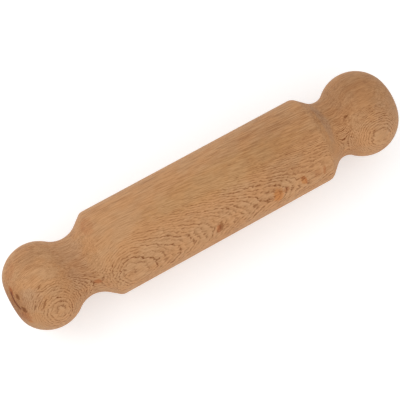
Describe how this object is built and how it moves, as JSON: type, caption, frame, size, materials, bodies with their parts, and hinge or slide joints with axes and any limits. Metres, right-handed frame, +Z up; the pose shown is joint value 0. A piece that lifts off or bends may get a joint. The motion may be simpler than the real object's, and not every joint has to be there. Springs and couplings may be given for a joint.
{
  "type": "rolling pin",
  "caption": "Solid turned beech rolling pin: a straight barrel with sloped shoulders, waisted necks and ball-shaped knobs that are held to roll out dough.",
  "frame": {"origin": "the middle of the pin's length, on its axis", "axes": "+X along the axis towards the knob with the shorter neck, +Z up when the pin lies on a table"},
  "size_m": [0.21, 0.045, 0.045],
  "materials": {
    "beech": "bare sanded beech, matt"
  },
  "bodies": {
    "root": {"rolling_pin": "beech"}
  },
  "joints": []
}
